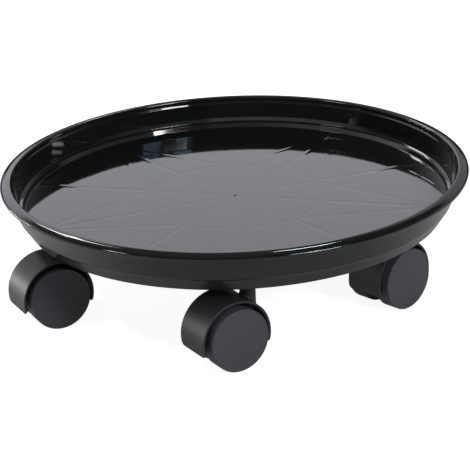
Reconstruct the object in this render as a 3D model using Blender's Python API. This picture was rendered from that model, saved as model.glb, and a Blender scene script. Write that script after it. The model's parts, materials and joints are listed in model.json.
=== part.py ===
"""A round plant pot caddy: a shallow ribbed dish that rolls on five twin-wheel swivel castors.

Frame: metres, +Z up, origin on the ground under the dish's centre. Castor 1 stands on -Y and the
others follow anticlockwise, seen from above.
"""

import math

import bmesh
import bpy
from mathutils import Matrix, Vector

MM = 0.001

# The dish, one moulding: floor, ledge, flared wall, lip and skirt.
DISH_RADIUS = 190 * MM
DISH_TOP = 102.6 * MM
FLOOR_TOP = 77 * MM
FLOOR_THICKNESS = 2.5 * MM
FLOOR_RADIUS = 171.3 * MM
FLOOR_FILLET = 1.8 * MM
LEDGE_INNER_RADIUS = 173.6 * MM
LEDGE_LOW = 80.3 * MM
LEDGE_OUTER_RADIUS = 177 * MM
LEDGE_HIGH = 84.6 * MM
LIP_WIDTH = 9 * MM
LIP_INNER_ROUNDING = 2 * MM
LIP_OUTER_ROUNDING = 2.8 * MM
LIP_HEIGHT = 5.2 * MM
WALL_TOP_RADIUS = 184.8 * MM
STEP_RADIUS = 177.3 * MM
STEP_HEIGHT = 78.6 * MM
STEP_DEPTH = 0.9 * MM
SKIRT_BOTTOM = 67.5 * MM
SKIRT_BOTTOM_RADIUS = 170.2 * MM
SKIRT_THICKNESS = 2.2 * MM
DISH_SEGMENTS = 72

# Ribs under the floor. They enter the floor and the skirt by RIB_OVERLAP.
RIB_THICKNESS = 2 * MM
RIB_HEIGHT = 5 * MM
RIB_OVERLAP = 1 * MM
RING_RIB_RADIUS = 72 * MM
RING_RIB_HEIGHT = 4.6 * MM
RING_RIB_SEGMENTS = 40
BRACE_HEIGHT = 4.2 * MM
HUB_RADIUS = 8 * MM
HUB_HEIGHT = 5.4 * MM

# The castors' places and the way each axle points at rest, in degrees.
CASTOR_COUNT = 5
STEM_CIRCLE_RADIUS = 141 * MM
FIRST_CASTOR_ANGLE = -90
AXLE_HEADINGS = (-61, -49, -56, -60, -65)

# Stem, socket and grip ring.
STEM_RADIUS = 4 * MM
STEM_BOTTOM = 36.6 * MM
STEM_TOP = 74 * MM
STEM_CHAMFER = 0.7 * MM
COLLAR_RADIUS = 5.6 * MM
COLLAR_BOTTOM = 59.3 * MM
COLLAR_TOP = 60.7 * MM
SOCKET_RADIUS = 9.6 * MM
SOCKET_BOTTOM = 61 * MM
SOCKET_BORE_RADIUS = 4.4 * MM
SOCKET_BORE_TOP = 74.4 * MM
GROOVE_BOTTOM = 68 * MM
GROOVE_WIDTH = 2 * MM
GROOVE_RADIUS = 3.1 * MM
RING_INNER_RADIUS = 3.3 * MM
RING_OUTER_RADIUS = 4.2 * MM
RING_HEIGHT = 1.6 * MM
RING_TURN = 320

# Hood: a drum over both wheels, a web between them, an axle boss and a neck.
TRAIL = 20.6 * MM
WHEEL_RADIUS = 25 * MM
HOOD_RADIUS = 30.2 * MM
HOOD_THICKNESS = 2.2 * MM
HOOD_WIDTH = 33 * MM
HOOD_NECK_END = -20
HOOD_TRAIL_END = 196
HOOD_STEPS = 24
HOOD_CORNER_RADIUS = 3.4 * MM
WEB_THICKNESS = 3 * MM
AXLE_BOSS_RADIUS = 6 * MM
AXLE_BOSS_WIDTH = 13.2 * MM
NECK_RADIUS = 6.2 * MM
NECK_BOTTOM = 32 * MM
NECK_TOP = 59 * MM
STEM_BORE_RADIUS = 4.2 * MM
STEM_BORE_BOTTOM = 36.2 * MM
AXLE_BORE_RADIUS = 3.2 * MM

# Axle and wheels. Distances along the axle are measured from the hood's middle plane.
AXLE_RADIUS = 3 * MM
AXLE_LENGTH = 34 * MM
AXLE_CHAMFER = 0.5 * MM
WHEEL_INNER_FACE = 7.2 * MM
WHEEL_OUTER_FACE = 21 * MM
WHEEL_CHAMFER = 1 * MM
WHEEL_RIM_THICKNESS = 2.4 * MM
WHEEL_DISC_THICKNESS = 2.5 * MM
WHEEL_HUB_RADIUS = 5.6 * MM
WHEEL_BORE_END = 17.4 * MM
WHEEL_SEGMENTS = 24
SMALL_SEGMENTS = 16

# Making: how far a cutter runs past the face it opens, and the angle from which an edge is sharp.
CUTTER_MARGIN = 1 * MM
SHARP_ANGLE = math.radians(35)
CORNER_STEPS = 3


def clear_scene():
    """Remove every object of the open scene."""
    for item in list(bpy.data.objects):
        bpy.data.objects.remove(item, do_unlink=True)


def plastic(name, colour, roughness):
    """A moulded plastic of one colour."""
    material = bpy.data.materials.new(name)
    material.use_nodes = True
    shader = material.node_tree.nodes["Principled BSDF"]
    shader.inputs["Base Color"].default_value = (*colour, 1)
    shader.inputs["Roughness"].default_value = roughness
    return material


def steel(name, colour, roughness):
    """A bare or plated steel."""
    material = plastic(name, colour, roughness)
    material.node_tree.nodes["Principled BSDF"].inputs["Metallic"].default_value = 1
    return material


def arc(centre_radius, centre_height, radius, start, end, steps):
    """Points of an arc in a turned outline, from the start to the end angle in degrees."""
    points = []
    for step in range(steps + 1):
        angle = math.radians(start + (end - start) * step / steps)
        points.append((centre_radius + radius * math.cos(angle), centre_height + radius * math.sin(angle)))
    return points


def rectangle(radius, width, bottom, top):
    """The corners (radius, height) of a ring's rectangular section about its middle radius."""
    inner, outer = radius - width / 2, radius + width / 2
    return [(inner, bottom), (outer, bottom), (outer, top), (inner, top)]


def polar(radius, degrees):
    """The ground-plane point at this radius and angle."""
    angle = math.radians(degrees)
    return Vector((radius * math.cos(angle), radius * math.sin(angle), 0))


def mesh_from(form, name):
    """Close a bmesh into a smooth-shaded mesh whose faces point out."""
    bmesh.ops.recalc_face_normals(form, faces=form.faces)
    mesh = bpy.data.meshes.new(name)
    form.to_mesh(mesh)
    form.free()
    mesh.shade_smooth()
    mesh.set_sharp_from_angle(angle=SHARP_ANGLE)
    return mesh


def turned(name, outline, segments, hollow=False):
    """A mesh turned about Z from (radius, height) points.

    It has a flat cap at the first and the last point. A hollow one is a ring instead, whose last
    point joins its first.
    """
    form = bmesh.new()
    first_radius, first_height = outline[0]
    place = Matrix.Translation((0, 0, first_height))
    bmesh.ops.create_circle(
        form, cap_ends=not hollow, segments=segments, radius=first_radius, matrix=place
    )
    first_ring = form.edges[:]
    rim = first_ring
    for radius, height in outline[1:]:
        grown = bmesh.ops.extrude_edge_only(form, edges=rim)["geom"]
        rim = [item for item in grown if isinstance(item, bmesh.types.BMEdge)]
        for vertex in {vertex for edge in rim for vertex in edge.verts}:
            vertex.co.xy = vertex.co.xy.normalized() * radius
            vertex.co.z = height
    if hollow:
        bmesh.ops.bridge_loops(form, edges=rim + first_ring)
    else:
        bmesh.ops.edgeloop_fill(form, edges=rim)
    return mesh_from(form, name)


def rod(name, radius, bottom, top):
    """A small upright cylinder about Z."""
    return turned(name, [(radius, top), (radius, bottom)], SMALL_SEGMENTS)


def slab(name, outline, width, cut_ends=(), corner_radius=0.0):
    """A mesh of a YZ outline extruded along X, centred on X.

    The outline of a curved shell has two short sides, where the shell is cut off. Each cut end is
    the index of such a side's first point, and the side's two corners are rounded.
    """
    form = bmesh.new()
    left = [form.verts.new((-width / 2, y, z)) for y, z in outline]
    right = [form.verts.new((width / 2, y, z)) for y, z in outline]
    form.faces.new(left)
    form.faces.new(right)
    for index in range(len(outline)):
        form.faces.new((left[index - 1], left[index], right[index], right[index - 1]))
    corners = [
        form.edges.get((side[index], side[index + 1])) for side in (left, right) for index in cut_ends
    ]
    if corners:
        bmesh.ops.bevel(
            form, geom=corners, offset=corner_radius, offset_type="OFFSET", segments=CORNER_STEPS,
            profile=0.5, affect="EDGES",
        )
    return mesh_from(form, name)


def bar(name, start, end, thickness, bottom, top):
    """A straight upright rib between two ground-plane points."""
    form = bmesh.new()
    bmesh.ops.create_cube(form, size=1)
    along = end - start
    bmesh.ops.scale(form, verts=form.verts, vec=(along.length, thickness, top - bottom))
    turn = Matrix.Rotation(math.atan2(along.y, along.x), 3, "Z")
    middle = (start + end) / 2
    bmesh.ops.rotate(form, verts=form.verts, cent=(0, 0, 0), matrix=turn)
    bmesh.ops.translate(form, verts=form.verts, vec=(middle.x, middle.y, (bottom + top) / 2))
    return mesh_from(form, name)


def split_ring(name, section, degrees, segments):
    """A ring about Z that is open at one side, from the (radius, height) corners of its section."""
    form = bmesh.new()
    face = form.faces.new([form.verts.new((radius, 0, height)) for radius, height in section])
    bmesh.ops.spin(
        form, geom=[face, *face.edges, *face.verts], cent=(0, 0, 0), axis=(0, 0, 1), dvec=(0, 0, 0),
        angle=math.radians(degrees), steps=segments, use_merge=False, use_duplicate=False,
    )
    return mesh_from(form, name)


def add(name, mesh, material, location=(0, 0, 0), rotation=(0, 0, 0), parent=None):
    """Put a mesh into the scene as a named object."""
    item = bpy.data.objects.new(name, mesh)
    bpy.context.scene.collection.objects.link(item)
    item.location = location
    item.rotation_euler = rotation
    item.parent = parent
    if material and not mesh.materials:
        mesh.materials.append(material)
    return item


def empty(name, location, rotation=(0, 0, 0), parent=None):
    """An empty that marks a joint's axis."""
    item = add(name, None, None, location, rotation, parent)
    item.empty_display_size = 10 * MM
    return item


def helper_group(name, meshes):
    """A hidden collection of solids for a Boolean modifier."""
    group = bpy.data.collections.new(name)
    bpy.context.scene.collection.children.link(group)
    for index, mesh in enumerate(meshes):
        item = bpy.data.objects.new(f"{name}_{index}", mesh)
        group.objects.link(item)
        item.hide_render = True
        item.display_type = "WIRE"
    return group


def boolean(item, operation, group):
    """Join a helper group to an object, or cut it away."""
    modifier = item.modifiers.new(operation.title(), "BOOLEAN")
    modifier.operation = operation
    modifier.operand_type = "COLLECTION"
    modifier.collection = group
    modifier.solver = "EXACT"


def dish_outline():
    """The dish's section, from the floor's edge over the lip and down to the underside's edge."""
    lip_inner = DISH_RADIUS - LIP_WIDTH
    points = arc(FLOOR_RADIUS - FLOOR_FILLET, FLOOR_TOP + FLOOR_FILLET, FLOOR_FILLET, -90, -15, 3)
    points.append((LEDGE_INNER_RADIUS, LEDGE_LOW))
    points.append((LEDGE_OUTER_RADIUS, LEDGE_HIGH))
    points += arc(
        lip_inner + LIP_INNER_ROUNDING, DISH_TOP - LIP_INNER_ROUNDING, LIP_INNER_ROUNDING, 190, 90, 4
    )
    points += arc(
        DISH_RADIUS - LIP_OUTER_ROUNDING, DISH_TOP - LIP_OUTER_ROUNDING, LIP_OUTER_ROUNDING, 90, -60, 5
    )
    points.append((WALL_TOP_RADIUS, DISH_TOP - LIP_HEIGHT))
    points.append((STEP_RADIUS, STEP_HEIGHT))
    points.append((STEP_RADIUS - STEP_DEPTH, STEP_HEIGHT - STEP_DEPTH))
    points.append((SKIRT_BOTTOM_RADIUS, SKIRT_BOTTOM))
    points.append((SKIRT_BOTTOM_RADIUS - SKIRT_THICKNESS, SKIRT_BOTTOM))
    points.append((FLOOR_RADIUS, FLOOR_TOP - FLOOR_THICKNESS))
    return points


def rib_meshes():
    """The ribs, the centre hub and the stem sockets that stand under the floor."""
    underside = FLOOR_TOP - FLOOR_THICKNESS
    top = underside + RIB_OVERLAP
    outer_end = SKIRT_BOTTOM_RADIUS - SKIRT_THICKNESS + RIB_OVERLAP
    half_pitch = 180 / CASTOR_COUNT
    ring_section = rectangle(RING_RIB_RADIUS, RIB_THICKNESS, underside - RING_RIB_HEIGHT, top)
    meshes = [
        rod("centre_hub", HUB_RADIUS, underside - HUB_HEIGHT, top),
        turned("ring_rib", ring_section, RING_RIB_SEGMENTS, hollow=True),
    ]
    for index in range(2 * CASTOR_COUNT):
        angle = FIRST_CASTOR_ANGLE + index * half_pitch
        start, end = polar(RIB_OVERLAP, angle), polar(outer_end, angle)
        meshes.append(bar("radial_rib", start, end, RIB_THICKNESS, underside - RIB_HEIGHT, top))
    for index in range(CASTOR_COUNT):
        angle = FIRST_CASTOR_ANGLE + index * 2 * half_pitch
        end = polar(outer_end, angle)
        for side in (-half_pitch, half_pitch):
            start = polar(RING_RIB_RADIUS, angle + side)
            meshes.append(bar("brace_rib", start, end, RIB_THICKNESS, underside - BRACE_HEIGHT, top))
        socket = rod("socket", SOCKET_RADIUS, SOCKET_BOTTOM, top)
        socket.transform(Matrix.Translation(polar(STEM_CIRCLE_RADIUS, angle)))
        meshes.append(socket)
    return meshes


def build_tray(material):
    """The dish with its ribs and sockets."""
    tray = add("tray", turned("tray", dish_outline(), DISH_SEGMENTS), material)
    boolean(tray, "UNION", helper_group("tray_ribs", rib_meshes()))
    bores = []
    for index in range(CASTOR_COUNT):
        angle = FIRST_CASTOR_ANGLE + index * 360 / CASTOR_COUNT
        bore = rod("socket_bore", SOCKET_BORE_RADIUS, SOCKET_BOTTOM - CUTTER_MARGIN, SOCKET_BORE_TOP)
        bore.transform(Matrix.Translation(polar(STEM_CIRCLE_RADIUS, angle)))
        bores.append(bore)
    boolean(tray, "DIFFERENCE", helper_group("tray_bores", bores))
    return tray


def carved(name, mesh, joined, cut):
    """One mesh made from a base mesh, the meshes joined to it and the meshes cut from it."""
    item = add(name, mesh, None)
    joined_group = helper_group(f"{name}_joined", joined)
    cut_group = helper_group(f"{name}_cut", cut)
    boolean(item, "UNION", joined_group)
    boolean(item, "DIFFERENCE", cut_group)
    bpy.context.view_layer.update()
    graph = bpy.context.evaluated_depsgraph_get()
    result = bpy.data.meshes.new_from_object(item.evaluated_get(graph))
    result.name = name
    for helper in (item, *joined_group.objects, *cut_group.objects):
        bpy.data.objects.remove(helper, do_unlink=True)
    for group in (joined_group, cut_group):
        bpy.data.collections.remove(group)
    result.shade_smooth()
    result.set_sharp_from_angle(angle=SHARP_ANGLE)
    return result


def hood_arc(radius, start, end, steps):
    """Points (y, z) about the axle, in the castor's frame. 0 degrees points to the neck's side."""
    return [(y - TRAIL, z) for y, z in arc(0, WHEEL_RADIUS, radius, start, end, steps)]


def hood_mesh():
    """The hood: a drum, a web and a neck in one, with bores for the stem and the axle."""
    inner_radius = HOOD_RADIUS - HOOD_THICKNESS
    outline = hood_arc(HOOD_RADIUS, HOOD_NECK_END, HOOD_TRAIL_END, HOOD_STEPS)
    outline += hood_arc(inner_radius, HOOD_TRAIL_END, HOOD_NECK_END, HOOD_STEPS)
    drum = slab("hood_drum", outline, HOOD_WIDTH, (HOOD_STEPS, -1), HOOD_CORNER_RADIUS)
    web_outline = hood_arc(HOOD_RADIUS - HOOD_THICKNESS / 2, 0, 180, HOOD_STEPS)
    web = slab("hood_web", web_outline, WEB_THICKNESS)
    across = Matrix.Translation((0, -TRAIL, WHEEL_RADIUS)) @ Matrix.Rotation(math.pi / 2, 4, "Y")
    half_boss = AXLE_BOSS_WIDTH / 2
    boss = rod("axle_boss", AXLE_BOSS_RADIUS, -half_boss, half_boss)
    bore_end = half_boss + CUTTER_MARGIN
    axle_bore = rod("axle_bore", AXLE_BORE_RADIUS, -bore_end, bore_end)
    for mesh in (boss, axle_bore):
        mesh.transform(across)
    neck = rod("neck", NECK_RADIUS, NECK_BOTTOM, NECK_TOP)
    stem_bore = rod("stem_bore", STEM_BORE_RADIUS, STEM_BORE_BOTTOM, NECK_TOP + CUTTER_MARGIN)
    return carved("hood", drum, [web, boss, neck], [axle_bore, stem_bore])


def wheel_mesh():
    """A wheel turned about its axle: a cup with a flat outer face, a rim, and a hub with a blind bore."""
    face_radius = WHEEL_RADIUS - WHEEL_CHAMFER
    rim_inner = WHEEL_RADIUS - WHEEL_RIM_THICKNESS
    disc = WHEEL_OUTER_FACE - WHEEL_DISC_THICKNESS
    outline = [
        (face_radius, WHEEL_OUTER_FACE),
        (WHEEL_RADIUS, WHEEL_OUTER_FACE - WHEEL_CHAMFER),
        (WHEEL_RADIUS, WHEEL_INNER_FACE),
        (rim_inner, WHEEL_INNER_FACE),
        (rim_inner, disc),
        (WHEEL_HUB_RADIUS, disc),
        (WHEEL_HUB_RADIUS, WHEEL_INNER_FACE),
        (AXLE_BORE_RADIUS, WHEEL_INNER_FACE),
        (AXLE_BORE_RADIUS, WHEEL_BORE_END),
    ]
    return turned("wheel", outline, WHEEL_SEGMENTS)


def stem_mesh():
    """The steel stem: chamfered ends, a collar under the socket and a groove for the grip ring."""
    tip = STEM_RADIUS - STEM_CHAMFER
    outline = [
        (tip, STEM_TOP),
        (STEM_RADIUS, STEM_TOP - STEM_CHAMFER),
        (STEM_RADIUS, GROOVE_BOTTOM + GROOVE_WIDTH),
        (GROOVE_RADIUS, GROOVE_BOTTOM + GROOVE_WIDTH),
        (GROOVE_RADIUS, GROOVE_BOTTOM),
        (STEM_RADIUS, GROOVE_BOTTOM),
        (STEM_RADIUS, COLLAR_TOP),
        (COLLAR_RADIUS, COLLAR_TOP),
        (COLLAR_RADIUS, COLLAR_BOTTOM),
        (STEM_RADIUS, COLLAR_BOTTOM),
        (STEM_RADIUS, STEM_BOTTOM + STEM_CHAMFER),
        (tip, STEM_BOTTOM),
    ]
    return turned("stem", outline, SMALL_SEGMENTS)


def axle_mesh():
    """The steel axle, with a chamfer at each end."""
    half = AXLE_LENGTH / 2
    tip = AXLE_RADIUS - AXLE_CHAMFER
    shoulder = half - AXLE_CHAMFER
    outline = [(tip, half), (AXLE_RADIUS, shoulder), (AXLE_RADIUS, -shoulder), (tip, -half)]
    return turned("axle", outline, SMALL_SEGMENTS)


def grip_ring_mesh():
    """The split spring ring that holds the stem in its socket."""
    bottom = GROOVE_BOTTOM + (GROOVE_WIDTH - RING_HEIGHT) / 2
    radius = (RING_INNER_RADIUS + RING_OUTER_RADIUS) / 2
    section = rectangle(radius, RING_OUTER_RADIUS - RING_INNER_RADIUS, bottom, bottom + RING_HEIGHT)
    return split_ring("grip_ring", section, RING_TURN, SMALL_SEGMENTS)


def build_castors(tray, hood_plastic, wheel_plastic, axle_steel, ring_steel):
    """Five castors. Each swivels about its stem, and its two wheels turn on one axle."""
    hood, wheel, stem = hood_mesh(), wheel_mesh(), stem_mesh()
    axle, ring = axle_mesh(), grip_ring_mesh()
    quarter = math.pi / 2
    for index in range(CASTOR_COUNT):
        name = f"castor_{index + 1}"
        place = polar(STEM_CIRCLE_RADIUS, FIRST_CASTOR_ANGLE + index * 360 / CASTOR_COUNT)
        add(f"{name}_stem", stem, axle_steel, place, parent=tray)
        add(f"{name}_grip_ring", ring, ring_steel, place, parent=tray)
        heading = math.radians(AXLE_HEADINGS[index])
        swivel = empty(f"{name}_swivel", place, (0, 0, heading), tray)
        add(f"{name}_hood", hood, hood_plastic, parent=swivel)
        line = empty(f"{name}_axle_line", (0, -TRAIL, WHEEL_RADIUS), parent=swivel)
        add(f"{name}_axle", axle, axle_steel, rotation=(0, quarter, 0), parent=line)
        add(f"{name}_wheel_left", wheel, wheel_plastic, rotation=(0, quarter, 0), parent=line)
        add(f"{name}_wheel_right", wheel, wheel_plastic, rotation=(0, -quarter, 0), parent=line)


def main():
    """Build the whole caddy."""
    clear_scene()
    tray = build_tray(plastic("gloss_black_polypropylene", (0.012, 0.012, 0.011), 0.12))
    build_castors(
        tray,
        plastic("matte_black_nylon", (0.016, 0.016, 0.017), 0.55),
        plastic("matte_charcoal_nylon", (0.035, 0.036, 0.040), 0.6),
        steel("zinc_plated_steel", (0.6, 0.61, 0.62), 0.3),
        steel("spring_steel", (0.35, 0.36, 0.38), 0.35),
    )


main()
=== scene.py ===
"""Looks of a round plant pot caddy: a glossy black dish that rolls on five twin-wheel castors.

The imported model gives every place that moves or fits. Each piece here is a finer mesh in the same
place as its CAD node, with its own finish. Lengths are in metres, and MM turns millimetres into them.
"""

import json
import logging
import math
from contextlib import contextmanager
from dataclasses import dataclass
from enum import Enum
from typing import Any, Callable, Iterator, NamedTuple, Sequence

import bmesh
import bpy
from mathutils import Matrix, Vector


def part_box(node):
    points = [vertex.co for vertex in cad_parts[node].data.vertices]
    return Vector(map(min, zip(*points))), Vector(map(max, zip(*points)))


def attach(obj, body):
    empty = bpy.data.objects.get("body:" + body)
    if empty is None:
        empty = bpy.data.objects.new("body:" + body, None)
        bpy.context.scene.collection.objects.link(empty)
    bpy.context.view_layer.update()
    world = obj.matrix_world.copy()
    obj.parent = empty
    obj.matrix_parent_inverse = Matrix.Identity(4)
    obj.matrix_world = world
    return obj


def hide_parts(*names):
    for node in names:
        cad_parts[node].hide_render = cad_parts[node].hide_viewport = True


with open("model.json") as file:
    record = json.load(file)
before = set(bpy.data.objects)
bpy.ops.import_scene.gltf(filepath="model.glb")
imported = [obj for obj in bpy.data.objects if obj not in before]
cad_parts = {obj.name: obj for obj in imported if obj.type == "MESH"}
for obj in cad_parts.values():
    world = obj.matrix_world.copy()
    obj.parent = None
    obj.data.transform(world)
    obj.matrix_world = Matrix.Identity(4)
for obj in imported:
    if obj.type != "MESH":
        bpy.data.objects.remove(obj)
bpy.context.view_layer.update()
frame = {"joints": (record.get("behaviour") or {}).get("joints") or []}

MM = 0.001
MERGE_DISTANCE = 0.001 * MM
log = logging.getLogger("caddy")


class Element(Enum):
    """The kinds of mesh element that an edit can pick."""

    VERTS = "VERT"
    EDGES = "EDGE"
    FACES = "FACE"


class Operation(Enum):
    """How a Boolean uses its helpers."""

    JOIN = "UNION"
    CUT = "DIFFERENCE"


class Corner(NamedTuple):
    """A corner of a turned outline: its place in the half-plane and how far it is rounded."""

    radius: float
    height: float
    rounding: float = 0.0


# Making meshes -----------------------------------------------------------------------------------


def deselect() -> None:
    """Leave no object selected."""
    bpy.ops.object.select_all(action="DESELECT")


def select_only(piece: bpy.types.Object) -> None:
    """Make one object the selected and active one.

    Args:
        piece: the object to select.
    """
    deselect()
    piece.select_set(True)
    bpy.context.view_layer.objects.active = piece


@contextmanager
def editing(piece: bpy.types.Object) -> Iterator[None]:
    """Hold one piece open in edit mode with all of it selected, and close it again.

    Args:
        piece: the object to edit.
    """
    select_only(piece)
    bpy.ops.object.mode_set(mode="EDIT")
    bpy.ops.mesh.select_mode(type=Element.VERTS.value)
    bpy.ops.mesh.select_all(action="SELECT")
    yield
    bpy.ops.object.mode_set(mode="OBJECT")


def pick(kind: Element, test: Callable[[Any], bool]) -> int:
    """Select the elements of the open mesh that pass a test, and nothing else.

    Args:
        kind: vertices, edges or faces.
        test: says whether an element is wanted.

    Returns:
        How many were picked.
    """
    bpy.ops.mesh.select_mode(type=kind.value)
    bpy.ops.mesh.select_all(action="DESELECT")
    mesh = bpy.context.edit_object.data
    form = bmesh.from_edit_mesh(mesh)
    chosen = [item for item in getattr(form, kind.name.lower()) if test(item)]
    for item in chosen:
        item.select_set(True)
    form.select_flush_mode()
    bmesh.update_edit_mesh(mesh)
    return len(chosen)


def close_up() -> None:
    """Merge the open mesh's doubled points and turn all its faces outwards."""
    bpy.ops.mesh.select_all(action="SELECT")
    bpy.ops.mesh.remove_doubles(threshold=MERGE_DISTANCE)
    bpy.ops.mesh.normals_make_consistent(inside=False)


def named(name: str) -> bpy.types.Object:
    """Name the object that an operator has just made.

    Args:
        name: the name for the object and its mesh.

    Returns:
        The object.
    """
    piece = bpy.context.object
    piece.name = name
    piece.data.name = name
    return piece


def place(piece: bpy.types.Object, matrix: Matrix) -> bpy.types.Object:
    """Move a piece by a matrix and put the move into its mesh.

    Args:
        piece: the object, which stands at the origin.
        matrix: where its own frame goes.

    Returns:
        The same object.
    """
    select_only(piece)
    piece.matrix_world = matrix
    bpy.ops.object.transform_apply(location=True, rotation=True, scale=True)
    return piece


def copy_of(piece: bpy.types.Object, name: str) -> bpy.types.Object:
    """Duplicate a piece, mesh and all.

    Args:
        piece: the object to copy.
        name: the copy's name.

    Returns:
        The copy.
    """
    select_only(piece)
    bpy.ops.object.duplicate(linked=False)
    return named(name)


def shade(piece: bpy.types.Object, degrees: float = 32.0) -> None:
    """Shade a piece smooth, with its edges sharp from an angle on and its large faces flat.

    Args:
        piece: the object to shade.
        degrees: the angle from which an edge is sharp.
    """
    select_only(piece)
    bpy.ops.object.shade_smooth_by_angle(angle=math.radians(degrees))
    modifier = piece.modifiers.new("Large faces first", "WEIGHTED_NORMAL")
    modifier.keep_sharp = True
    bpy.ops.object.modifier_apply(modifier=modifier.name)


def rounded(corners: Sequence[Corner], steps: int = 5) -> list[tuple[float, float]]:
    """Work out an outline whose corners are arcs.

    Args:
        corners: the outline's corners in order. The first and last take no rounding.
        steps: how many straight steps each arc has.

    Returns:
        The outline's (radius, height) points.
    """
    points: list[tuple[float, float]] = []
    for index, corner in enumerate(corners):
        here = Vector(corner[:2])
        if not corner.rounding:
            points.append(tuple(here))
            continue
        back = (Vector(corners[index - 1][:2]) - here).normalized()
        ahead = (Vector(corners[index + 1][:2]) - here).normalized()
        half = back.angle(ahead) / 2
        centre = here + (back + ahead).normalized() * corner.rounding / math.sin(half)
        arm = here + back * corner.rounding / math.tan(half) - centre
        sweep = math.copysign(math.pi - 2 * half, ahead.x * back.y - ahead.y * back.x)
        for step in range(steps + 1):
            turned_arm = Matrix.Rotation(sweep * step / steps, 2) @ arm
            points.append(tuple(centre + turned_arm))
    return points


def spin(steps: int, angle: float, axis: Sequence[float], copies: bool = False) -> None:
    """Spin what is selected of the open mesh anticlockwise about an axis through the origin.

    Args:
        steps: how many steps the spin has.
        angle: the whole angle in radians.
        axis: the direction of the axis.
        copies: whether to leave a copy at each step, in place of a skin between them.
    """
    # The operator itself goes clockwise.
    bpy.ops.mesh.spin(steps=steps, angle=-angle, center=(0, 0, 0), axis=axis, dupli=copies)


def turn(
    name: str, outline: Sequence[tuple[float, float]], segments: int, hollow: bool = False
) -> bpy.types.Object:
    """Turn an outline about Z, as on a lathe: a circle that is extruded and scaled ring by ring.

    Args:
        name: the piece's name.
        outline: (radius, height) points. None of them is on the axis.
        segments: how many sides the rings have.
        hollow: whether the last ring joins the first, in place of a cap on each.

    Returns:
        The closed piece.
    """
    deselect()
    radius, height = outline[0]
    bpy.ops.mesh.primitive_circle_add(vertices=segments, radius=radius, location=(0, 0, height))
    piece = named(name)
    bpy.ops.object.transform_apply(location=True)
    with editing(piece):
        for next_radius, next_height in outline[1:]:
            rise = (0, 0, next_height - height)
            bpy.ops.mesh.extrude_region_move(TRANSFORM_OT_translate={"value": rise})
            growth = next_radius / radius
            centre = (0, 0, next_height)
            bpy.ops.transform.resize(value=(growth, growth, 1), center_override=centre)
            radius, height = next_radius, next_height
        pick(Element.EDGES, lambda edge: edge.is_boundary)
        if hollow:
            bpy.ops.mesh.bridge_edge_loops()
        else:
            bpy.ops.mesh.fill_holes(sides=0)
        close_up()
    return piece


def block(name: str, size: Sequence[float], matrix: Matrix, softening: float) -> bpy.types.Object:
    """Make a bar with softened edges.

    Args:
        name: the piece's name.
        size: its length along X, Y and Z.
        matrix: where its middle goes.
        softening: the width of the bevel along its edges.

    Returns:
        The bar.
    """
    deselect()
    bpy.ops.mesh.primitive_cube_add(size=1)
    piece = named(name)
    place(piece, Matrix.Diagonal((*size, 1)))
    with editing(piece):
        bpy.ops.mesh.bevel(offset=softening, segments=2, affect="EDGES")
    return place(piece, matrix)


def combine(piece: bpy.types.Object, operation: Operation, helpers: Sequence[bpy.types.Object]) -> None:
    """Join helpers to a piece, or cut them from it, and remove them.

    Args:
        piece: the object that is changed.
        operation: join or cut.
        helpers: closed objects, used up by this.
    """
    group = bpy.data.collections.new(f"{piece.name}_{operation.name.lower()}")
    for helper in helpers:
        group.objects.link(helper)
    bpy.context.scene.collection.children.link(group)
    select_only(piece)
    modifier = piece.modifiers.new(operation.name.title(), "BOOLEAN")
    modifier.operation = operation.value
    modifier.operand_type = "COLLECTION"
    modifier.collection = group
    modifier.solver = "EXACT"
    bpy.ops.object.modifier_apply(modifier=modifier.name)
    for helper in helpers:
        bpy.data.objects.remove(helper, do_unlink=True)
    bpy.data.collections.remove(group)


# Finishes ----------------------------------------------------------------------------------------


def linear(code: str) -> tuple[float, float, float, float]:
    """Turn an sRGB hex colour into the linear colour that a shader takes.

    Args:
        code: the colour as #rrggbb.

    Returns:
        Red, green, blue and an alpha of 1.
    """
    channels = (int(code[first : first + 2], 16) / 255 for first in (1, 3, 5))
    red, green, blue = (
        value / 12.92 if value <= 0.04045 else ((value + 0.055) / 1.055) ** 2.4 for value in channels
    )
    return red, green, blue, 1.0


def add_node(
    tree: bpy.types.NodeTree, kind: str, inputs: dict[Any, Any] | None = None, **settings: Any
) -> bpy.types.Node:
    """Add a node with its settings, its constants and its links.

    Args:
        tree: the node tree.
        kind: the node's type.
        inputs: what each input takes, by name or index: a constant, or a socket to link from.
        settings: the node's own properties.

    Returns:
        The node.
    """
    made = tree.nodes.new(kind)
    for name, value in settings.items():
        setattr(made, name, value)
    for key, value in (inputs or {}).items():
        if isinstance(value, bpy.types.NodeSocket):
            tree.links.new(value, made.inputs[key])
        else:
            made.inputs[key].default_value = value
    return made


def new_surface(name: str) -> tuple[bpy.types.Material, bpy.types.NodeTree, bpy.types.Node]:
    """Start a material that is one Principled BSDF.

    Args:
        name: the material's name.

    Returns:
        The material, its node tree and its shader.
    """
    material = bpy.data.materials.new(name)
    material.use_nodes = True
    tree = material.node_tree
    return material, tree, tree.nodes["Principled BSDF"]


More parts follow.
